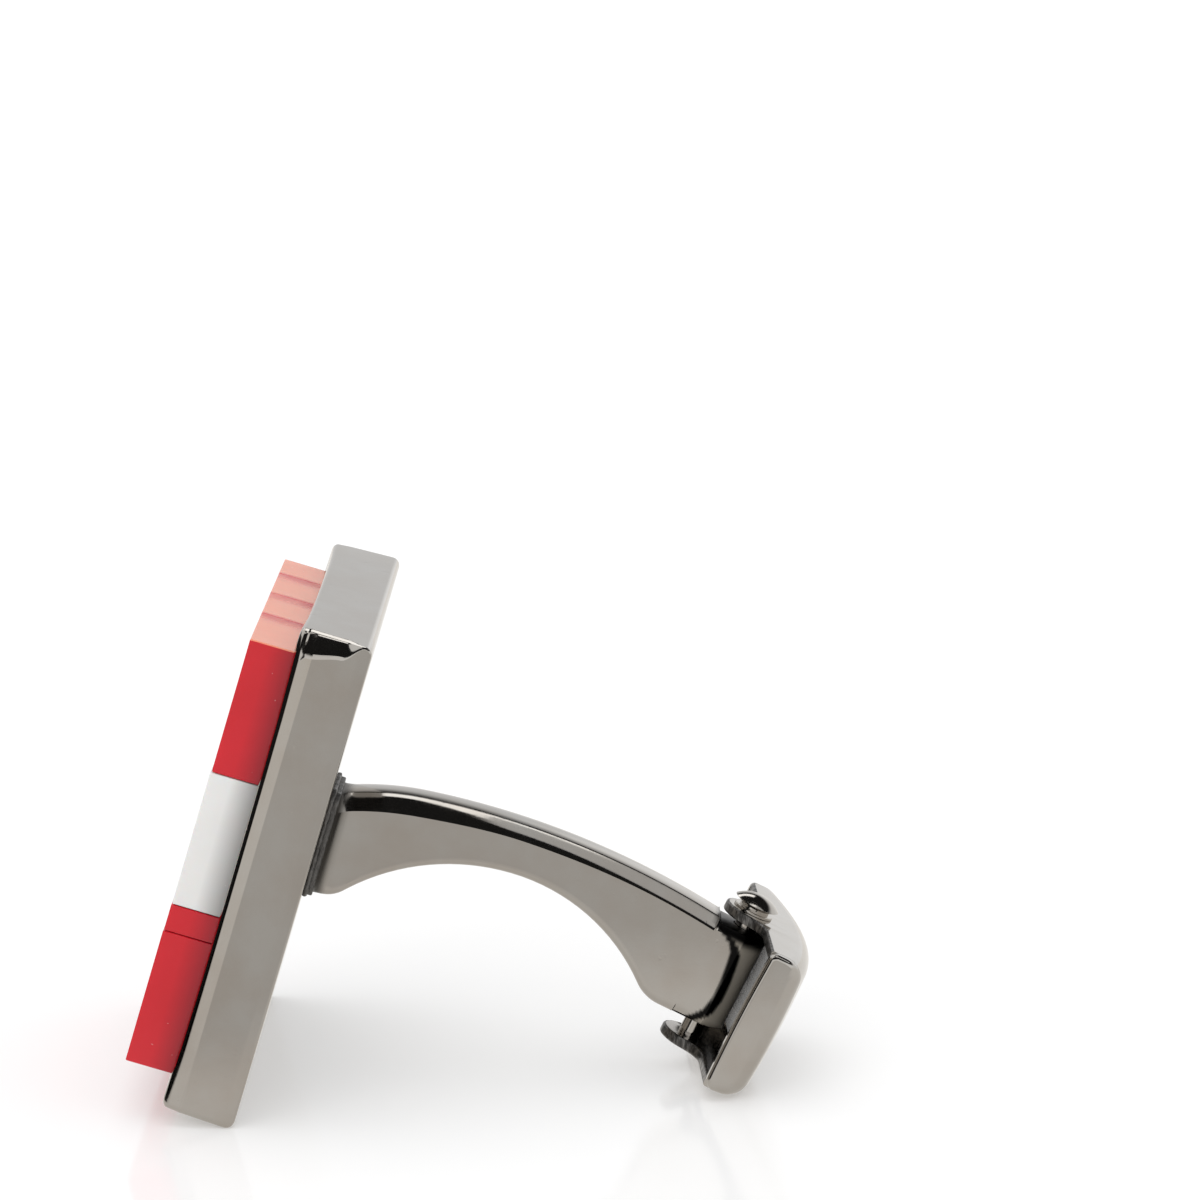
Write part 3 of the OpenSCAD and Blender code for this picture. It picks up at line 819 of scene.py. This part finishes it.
def solder_rings():
    """Rings across the bead, all the way round the foot."""
    outline = plate_rings(0, 1, FOOT_HALF_W + BEAD_OUT, FOOT_HALF_H + BEAD_OUT, FLANGE_R + BEAD_OUT, 0.0)[0]
    path = [Vector(p) for p in outline]
    dense = []
    for p, q in zip(path, path[1:] + path[:1]):
        steps = max(1, round((q - p).length / BEAD_SPACING))
        dense += [p.lerp(q, k / steps) for k in range(steps)]
    rings = []
    for i, p in enumerate(dense):
        ahead = (dense[(i + 1) % len(dense)] - dense[i - 1]).normalized()
        outward = ahead.cross(Vector((-1, 0, 0)))
        if outward.dot(p) < 0:
            outward = -outward
        swell = SWELL * noise.noise(p * SWELL_WAVES)
        ring = []
        for a in range(0, 360, 30):
            t = math.radians(a)
            r = BEAD_R * (1 + swell + LUMPS * noise.noise(p * LUMP_WAVES + Vector((a, 0, 0))))
            ring.append((tray_t + BEAD_BACK + r * math.cos(t), *(p + outward * r * math.sin(t))[1:]))
        rings.append(ring)
    return rings


film_rings = plate_rings(tray_t, FOOT_U, FOOT_HALF_W - FILM_IN, FOOT_HALF_H - FILM_IN, FLANGE_R, FILM_EDGE_R)
solder = make_object("solder_bead", [loft(solder_rings(), closed=True), loft(film_rings)], LINK)
install(solder, "link", solder_metal, ["solder_joint"], crease=60)


# Toggle: a folded sheet channel with ears, and a folded wall at each end

toggle_low, toggle_high = box_in("toggle_shell", TOGGLE)
TOGGLE_HALF_LEN = (toggle_high[1] - toggle_low[1]) / 2
TOGGLE_HALF_W = (toggle_high[2] - toggle_low[2]) / 2
SHEET = 0.4
BACK_R, BACK_AXIS = 15.8036, -13.0717
LONG_R, LONG_AT = 0.8, 14.9385
CROWN_R, CROWN_TURN = 36.3204, 3.47
RIM_P, EAR_R, HOLLOW_R = 0.42, 1.1, 1.0
RIM_EDGE_R = 0.09
TIP_STEPS = 6
# The hollows' middles beside the ear
HOLLOW_P = RIM_P - HOLLOW_R
HOLLOW_Y = math.sqrt((EAR_R + HOLLOW_R) ** 2 - HOLLOW_P ** 2)
# The channel ends a seam's width before the inside of the end walls
SEAM_GAP = 0.03
SHEET_END = TOGGLE_HALF_LEN - SHEET - SEAM_GAP
# Where the seam beside an end wall closes on the upper and the lower side, as distances back from the pin
SEAM_CLOSES = ((1.25, 1.7), (0.5, 1.1))
# The end walls' rim: its corners, the upper one of the near and of the far wall, and its bow
END_RIM_P = RIM_P - 0.02
NEAR_RIM_UPPER_R, FAR_RIM_UPPER_R, END_RIM_LOWER_R = 0.3, 0.22, 0.46
RIM_BOW = 0.05
BOW_STEPS = 12
# The end walls' edge: crisp at the rim, and a wide fold where the wall turns into the back
EDGE_R, FOLD_R = 0.20, 0.4
# How dark the painted shade on the inside of the back is, low down and high up, as (height, share)
INSIDE_LOW, INSIDE_HIGH = (-1.9, 0.3), (-1.0, 0.95)


def sheet_section(depth, steps=14):
    """(distance from the turning axis, height) of the bent sheet from its upper wall to its lower one."""
    low = arc((LONG_AT, TOGGLE_HALF_W - LONG_R), LONG_R - depth, 90, CROWN_TURN, steps)
    crown = arc((BACK_R - CROWN_R, 0), CROWN_R - depth, CROWN_TURN, -CROWN_TURN, 12)[1:-1]
    return low + crown + [(r, -a) for r, a in reversed(low)]


def at_station(section, y):
    """A bent section's places back from the pin, at y along the toggle."""
    return [(BACK_AXIS + math.sqrt(r * r - y * y), a) for r, a in section]


def rim_at(y):
    """Where the side walls end at a station: straight, then hollows, then the ears."""
    touch_y = HOLLOW_Y * EAR_R / (EAR_R + HOLLOW_R)
    y = abs(y)
    if y >= HOLLOW_Y:
        return RIM_P
    if y >= touch_y:
        return HOLLOW_P + math.sqrt(HOLLOW_R ** 2 - (HOLLOW_Y - y) ** 2)
    return -math.sqrt(EAR_R ** 2 - y * y)


def folded(p, a):
    """How far the near end wall runs into the back there: 0 beside the open seam, 1 in the fold."""
    start, end = SEAM_CLOSES[0 if a > 0 else 1]
    return smooth((p - start) / (end - start))


def channel_section(y):
    """The sheet's closed section, from one wall's cut edge round the outside and back along the inside."""
    rim = rim_at(y)
    r = RIM_EDGE_R
    outer, inner = at_station(sheet_section(0), y), at_station(sheet_section(SHEET), y)
    tip = arc((rim + r, TOGGLE_HALF_W - SHEET + r), r, 270, 180, TIP_STEPS)
    tip += arc((rim + r, TOGGLE_HALF_W - r), r, 180, 90, TIP_STEPS)
    loop = tip + outer + [(p, -a) for p, a in reversed(tip)] + inner[::-1]
    if y >= SHEET_END:
        return [(p, y + SEAM_GAP, a) for p, a in loop]
    return [(p, y - SEAM_GAP * folded(p, a) if y <= -SHEET_END else y, a) for p, a in loop]


def channel_stations():
    """Places along the toggle, close together where the ears and hollows turn."""
    turn = math.degrees(math.atan2(HOLLOW_Y, HOLLOW_P))
    ear = [y for p, y in arc((0, 0), EAR_R, 180, turn, 14)]
    hollow = [y for p, y in arc((HOLLOW_P, HOLLOW_Y), HOLLOW_R, turn - 180, 0, 14)][1:]
    half = ear + hollow + list(np.linspace(HOLLOW_Y, SHEET_END, 9)[1:])
    return [-y for y in reversed(half[1:])] + half


def end_rim(side):
    """The rim's side of an end wall's outline, from its lower corner to its upper one."""
    r = NEAR_RIM_UPPER_R if side < 0 else FAR_RIM_UPPER_R
    low_r = END_RIM_LOWER_R
    upper = arc((END_RIM_P + r, TOGGLE_HALF_W - r), r, 180, 90, 10)
    lower = arc((END_RIM_P + low_r, low_r - TOGGLE_HALF_W), low_r, 270, 180, 10)
    bow = []
    for k in range(1, BOW_STEPS):
        height = mix(lower[-1][1], upper[0][1], k / BOW_STEPS)
        bow.append((END_RIM_P - RIM_BOW * math.sin(math.pi * k / BOW_STEPS), height))
    return lower + bow + upper


def end_wall(side):
    """A folded end wall: it grows out of the back in a wide fold that closes to a seam towards the rim."""
    inner_y = TOGGLE_HALF_LEN - SHEET
    rim = end_rim(side)
    rings = []
    for turn in range(0, 91, 5):
        level = FOLD_R * math.sin(math.radians(turn))
        outline = at_station(sheet_section(0), inner_y + level) + rim
        ring = []
        for i, (p, a) in enumerate(outline):
            before, after = outline[i - 1], outline[(i + 1) % len(outline)]
            tangent = Vector((after[0] - before[0], after[1] - before[1])).normalized()
            inward = Vector((tangent.y, -tangent.x))
            r = mix(EDGE_R, FOLD_R, folded(p, a))
            past = max(level - (FOLD_R - r), 0)
            inset = r - math.sqrt(max(r * r - past * past, 0))
            ring.append((p + inward.x * inset, side * (inner_y + level), a + inward.y * inset))
        rings.append(ring)
    return loft(rings)


def mark_cut_edges(obj, per_ring):
    """Gives the cut edges of the side walls, between the sheet's two skins, the sheared material."""
    obj.data.materials.append(gunmetal)
    obj.data.materials.append(sheared_edge)
    for face in obj.data.polygons[:-2]:
        if face.index % per_ring % (per_ring // 2) <= 2 * TIP_STEPS:
            face.material_index = 1


def shell_painted_shade(q):
    """Painted shade on the inside of the back, most of all its upper part."""
    inner = BACK_R - 0.8 * SHEET - math.hypot(q.x - BACK_AXIS, q.y)
    if abs(q.z) > TOGGLE_HALF_W - SHEET + 0.02 or inner < 0:
        return 0.0
    (low, low_share), (high, high_share) = INSIDE_LOW, INSIDE_HIGH
    return mix(low_share, high_share, smooth((q.z - low) / (high - low)))


sections = [channel_section(y) for y in channel_stations()]
toggle = make_object("toggle_sheet", [loft(sections)], TOGGLE)
mark_cut_edges(toggle, len(sections[0]))
drill(toggle, EAR_BORE_R, TOGGLE)
mark(toggle, "painted_shade", [shell_painted_shade(q) for q in points_of(toggle, TOGGLE)])
install(toggle, "toggle", gunmetal, ["toggle_shell"])
for wall_name, side in (("near_end_wall", -1), ("far_end_wall", 1)):
    install(make_object(wall_name, [end_wall(side)], TOGGLE), "toggle", gunmetal)


# Pin: domed head on a collar, plain shaft, peened end

HEAD_R, HEAD_H, PEEN_R, PEEN_H = 0.9, 0.72, 0.6, 0.2
# The head: a disc on the ear, a waist, and the dome from its rim up
DISC_R, DISC_H, WAIST_R, WAIST_H, DOME_RIM = 0.80, 0.12, 0.60, 0.22, 0.38
# Small chamfers on the turned edges
CUT, WIDE_CUT = 0.02, 0.03
# The peened end reaches this far into the ear's bore
PEEN_IN = 0.01


def pin_profile():
    """A domed head over a disc at the upper end, a low dome at the lower one."""
    top, low = TOGGLE_HALF_W, -TOGGLE_HALF_W
    turns = [math.radians(a) for a in range(6, 91, 12)]
    peen = [(0, low - PEEN_H)] + [(PEEN_R * math.sin(a), low - PEEN_H * math.cos(a)) for a in turns]
    peen += [(PEEN_R - CUT, low + PEEN_IN), (PIN_R, low + PEEN_IN)]
    disc = [(PIN_R, top), (DISC_R - CUT, top), (DISC_R, top + CUT), (DISC_R, top + DISC_H - WIDE_CUT)]
    disc += [(DISC_R - WIDE_CUT, top + DISC_H), (WAIST_R, top + DISC_H), (WAIST_R, top + WAIST_H)]
    rise = HEAD_H - DOME_RIM
    ball = (HEAD_R ** 2 + rise ** 2) / (2 * rise)
    edge = math.degrees(math.asin(HEAD_R / ball))
    rim = [(HEAD_R - WIDE_CUT, top + DOME_RIM - WIDE_CUT), (HEAD_R, top + DOME_RIM - 0.01)]
    dome = arc((0, top + HEAD_H - ball), ball, 90 - edge, 90, 14)[:-1]
    return peen + disc + rim + dome + [(0, top + HEAD_H)]


pin = make_object("pin_metal", [lathe(pin_profile())], TOGGLE)
install(pin, "toggle", gunmetal, ["toggle_pin"], crease=35)
repaint("detent_spring", spring_steel)


# Stage: a white glossy table, soft light, and a studio that polished metal can mirror

TABLE_REACH = 2.0
TABLE_WHITE = (0.93, 0.93, 0.93)
TABLE_GLOW = 0.20
MIRROR_GLOW = 0.65
WHITE_LIGHT, FLOOR_TINT = (1.0, 1.0, 1.0), (1.0, 0.96, 0.90)
# Distances over which the table brightens all round, and darkens to the left
FAR_FADE, DARK_FADE = (0.08, 0.5), (0.026, 0.040)
# The dim band before the cufflink: the slant of its left edge, and where each edge fades
FRONT_DIM = 0.36
BAND_SLANT, BAND_LEFT, BAND_RIGHT = 0.12, (0.0145, 0.0105), (0.055, 0.025)
BAND_BACK, BAND_FRONT = (-0.011, -0.026), (-0.26, -0.14)
# Beyond this sine of the azimuth, to the left, mirrors see dark surroundings
SIDE_FROM, SIDE_TO = 0.62, 0.72


def side_share(s, x, y):
    """1 to the left of the cufflink, 0 before it, behind it and to its right. Also gives the distance."""
    away = s.math("SQRT", s.math("ADD", s.times(x, x), s.times(y, y)))
    sine = s.math("DIVIDE", s.times(x, -1.0), s.math("MAXIMUM", away, 1e-4))
    return s.ramp(sine, SIDE_FROM, SIDE_TO), away


def make_floor():
    """The table glows a little where the camera or the metal sees it, so that it stays white.
    Mirrors see it dimmer in front of the cufflink, out of the picture, and dark to the left."""
    mesh = bpy.data.meshes.new("table")
    r = TABLE_REACH
    mesh.from_pydata([(-r, -r, 0), (r, -r, 0), (r, r, 0), (-r, r, 0)], [], [(0, 1, 2, 3)])
    floor = bpy.data.objects.new("table", mesh)
    bpy.context.scene.collection.objects.link(floor)
    s = Shader("table")
    s.finish(Base_Color=TABLE_WHITE, Roughness=0.12, Specular_IOR_Level=0.24)
    x, y, _ = s.axes(s.place)

    sides, away = side_share(s, x, y)
    far = s.ramp(away, *FAR_FADE)
    dark = s.times(sides, s.ramp(away, *DARK_FADE))
    left = s.math("SUBTRACT", s.times(y, BAND_SLANT), x)
    band = s.times(s.ramp(left, *BAND_LEFT), s.ramp(x, *BAND_RIGHT))
    front = s.times(s.ramp(y, *BAND_BACK), s.ramp(y, *BAND_FRONT))
    dim = s.math("MAXIMUM", s.times(s.times(band, front), FRONT_DIM), dark)

    light = s.node("ShaderNodeLightPath").outputs
    seen = s.times(light["Is Camera Ray"], s.spread(far, 0, 1, TABLE_GLOW, 1.0))
    seen = s.result("ShaderNodeEmission", WHITE_LIGHT, seen)
    near = s.result("ShaderNodeAddShader", s.surface.outputs["BSDF"], seen)
    glow = s.result("ShaderNodeEmission", FLOOR_TINT, s.math("SUBTRACT", 1.0, dim))
    share = s.math("MAXIMUM", s.spread(far, 0, 1, MIRROR_GLOW, 1.0), dark)
    join = s.result("ShaderNodeMixShader", s.times(light["Is Glossy Ray"], share), near, glow)
    s.put(s.tree.nodes["Material Output"].inputs["Surface"], join)
    mesh.materials.append(s.material)


WORLD_SOFT = 0.95
DARK = 0.02
# All places in the world are sines: of the elevation (Z), to the right (X) and back (Y)
BEHIND = (-0.05, 0.05)
# White walls: their strength, and the elevation over which they end
BACK_WHITE, BACK_FADE = 1.0, (0.52, 0.28)
FRONT_WHITE, FRONT_FADE = 1.5, (0.44, 0.40)
# The back wall is this much brighter to the right
BACK_RIGHT, BACK_RIGHT_X = 0.35, (0.10, 0.20)
# The overhead softbox in mirrors is a bright and a plain part along Y, whose border depends on X
BOX_BACK, BOX_FRONT, BOX_SOFT, BOX_Z = 0.05, -0.30, 0.02, (0.55, 0.62)
BRIGHT_TO_LEFT, BRIGHT_TO_RIGHT, BORDER_X = -0.19, -0.03, (0.27, 0.30)
BOX_BRIGHT, BRIGHT_LEFT_X, BRIGHT_RIGHT_X = 2.6, (-0.12, -0.04), (0.56, 0.42)
BOX_PLAIN, PLAIN_X = 0.95, (0.24, 0.30)
# A window high up behind
WINDOW, WINDOW_Z, WINDOW_X = 2.8, (0.60, 0.76), (-0.20, 0.26)
# A gleam high up to the left
GLEAM, GLEAM_Z, GLEAM_X, GLEAM_Y = 1.4, (0.36, 0.95), (-0.88, -0.16), (-0.25, 1.1)


def make_world():
    """Even soft light, and for mirrors white walls, darkness to the left and bright areas above."""
    world = bpy.data.worlds.new("studio")
    bpy.context.scene.world = world
    world.use_nodes = True
    world.node_tree.nodes.clear()
    s = Nodes(world.node_tree)
    x, y, z = s.axes(s.node("ShaderNodeTexCoord").outputs["Generated"])

    def between(value, low, high):
        above = s.ramp(value, low - BOX_SOFT, low + BOX_SOFT)
        return s.times(above, s.ramp(value, high + BOX_SOFT, high - BOX_SOFT))

    sides, _ = side_share(s, x, y)
    behind = s.ramp(y, *BEHIND)
    back = s.times(s.ramp(z, *BACK_FADE), behind)
    back = s.times(back, s.ramp(x, *BACK_RIGHT_X, BACK_WHITE, BACK_WHITE + BACK_RIGHT))
    front = s.times(s.ramp(z, *FRONT_FADE), s.math("SUBTRACT", 1.0, behind))
    walls = s.math("ADD", back, s.times(front, FRONT_WHITE))
    walls = s.times(s.math("SUBTRACT", 1.0, sides), walls)

    border = s.ramp(x, *BORDER_X, BRIGHT_TO_LEFT, BRIGHT_TO_RIGHT)
    past = s.ramp(s.math("SUBTRACT", y, border), -BOX_SOFT, BOX_SOFT)
    bright = s.times(past, s.ramp(y, BOX_BACK + BOX_SOFT, BOX_BACK - BOX_SOFT))
    bright = s.times(bright, s.ramp(x, *BRIGHT_LEFT_X))
    bright = s.times(bright, s.ramp(x, *BRIGHT_RIGHT_X, 0, BOX_BRIGHT))
    plain = s.times(between(y, BOX_FRONT, BOX_BACK), s.ramp(x, *PLAIN_X, 0, BOX_PLAIN))
    box = s.times(s.math("MAXIMUM", bright, plain), s.ramp(z, *BOX_Z))
    window = s.times(s.times(between(z, *WINDOW_Z), between(x, *WINDOW_X)), s.times(behind, WINDOW))
    gleam = s.times(between(z, *GLEAM_Z), between(x, *GLEAM_X))
    gleam = s.times(gleam, s.times(between(y, *GLEAM_Y), GLEAM))
    above = s.math("ADD", s.math("ADD", box, window), gleam)
    level = s.math("MAXIMUM", s.math("ADD", walls, above), DARK)

    light = s.node("ShaderNodeLightPath").outputs
    mirrored = s.node("ShaderNodeMix")
    s.put(mirrored.inputs["Factor"], light["Is Glossy Ray"])
    s.put(mirrored.inputs["A"], WORLD_SOFT)
    s.put(mirrored.inputs["B"], level)
    seen = s.node("ShaderNodeMix")
    s.put(seen.inputs["Factor"], light["Is Camera Ray"])
    s.put(seen.inputs["A"], mirrored.outputs["Result"])
    s.put(seen.inputs["B"], 1)
    background = s.node("ShaderNodeBackground")
    s.put(background.inputs["Strength"], seen.outputs["Result"])
    output = s.node("ShaderNodeOutputWorld")
    s.put(output.inputs["Surface"], background.outputs["Background"])


def make_lamp(name, spot, size, radiance):
    """A rectangular soft light that faces the cufflink. Mirrors see the world's softbox instead."""
    data = bpy.data.lights.new(name, "AREA")
    data.shape = "RECTANGLE"
    data.size, data.size_y = size
    data.energy = radiance * math.pi * size[0] * size[1]
    lamp = bpy.data.objects.new(name, data)
    lamp.location = spot
    lamp.rotation_euler = Vector(spot).to_track_quat("Z", "Y").to_euler()
    lamp.visible_glossy = False
    bpy.context.scene.collection.objects.link(lamp)


make_floor()
make_world()
make_lamp("softbox", (-0.10, 0.10, 0.6), (0.5, 0.5), 0.6)
make_lamp("front_fill", (-0.20, -0.65, 0.30), (0.7, 0.5), 1.5)


# Camera: solved from the photograph's tray and block corners, fixed to the link's frame

IMAGE_SIDE = 1200
FOCAL_PIXELS = 5000
SENSOR_MM = 36
VIEW_AZIMUTH, VIEW_ELEVATION, VIEW_LEAN = 0.84, 10.60, 16.59
VIEW_OFFSET = (-13.53, -8.26, 193.6)


def make_camera():
    """The photograph's view, turned with the link's frame."""
    a, e = math.radians(VIEW_AZIMUTH), math.radians(VIEW_ELEVATION)
    ahead = Vector((-math.sin(a) * math.cos(e), math.cos(a) * math.cos(e), -math.sin(e)))
    right = Vector((math.cos(a), math.sin(a), 0))
    up = right.cross(ahead)
    across, rise, depth = VIEW_OFFSET
    spot = -(right * across + up * rise + ahead * depth)
    turn = Matrix.Rotation(lean - math.radians(VIEW_LEAN), 4, "Y")
    axes = Matrix((right, up, -ahead)).transposed().to_4x4()
    data = bpy.data.cameras.new("camera")
    data.sensor_width = SENSOR_MM
    data.lens = SENSOR_MM * FOCAL_PIXELS / IMAGE_SIDE
    data.clip_start = 0.01
    data.clip_end = 20
    camera = bpy.data.objects.new("camera", data)
    camera.matrix_world = Matrix.Translation(link_origin * MM) @ turn @ Matrix.Translation(spot * MM) @ axes
    bpy.context.scene.collection.objects.link(camera)
    bpy.context.scene.camera = camera


make_camera()
bpy.context.scene.view_settings.view_transform = "Standard"
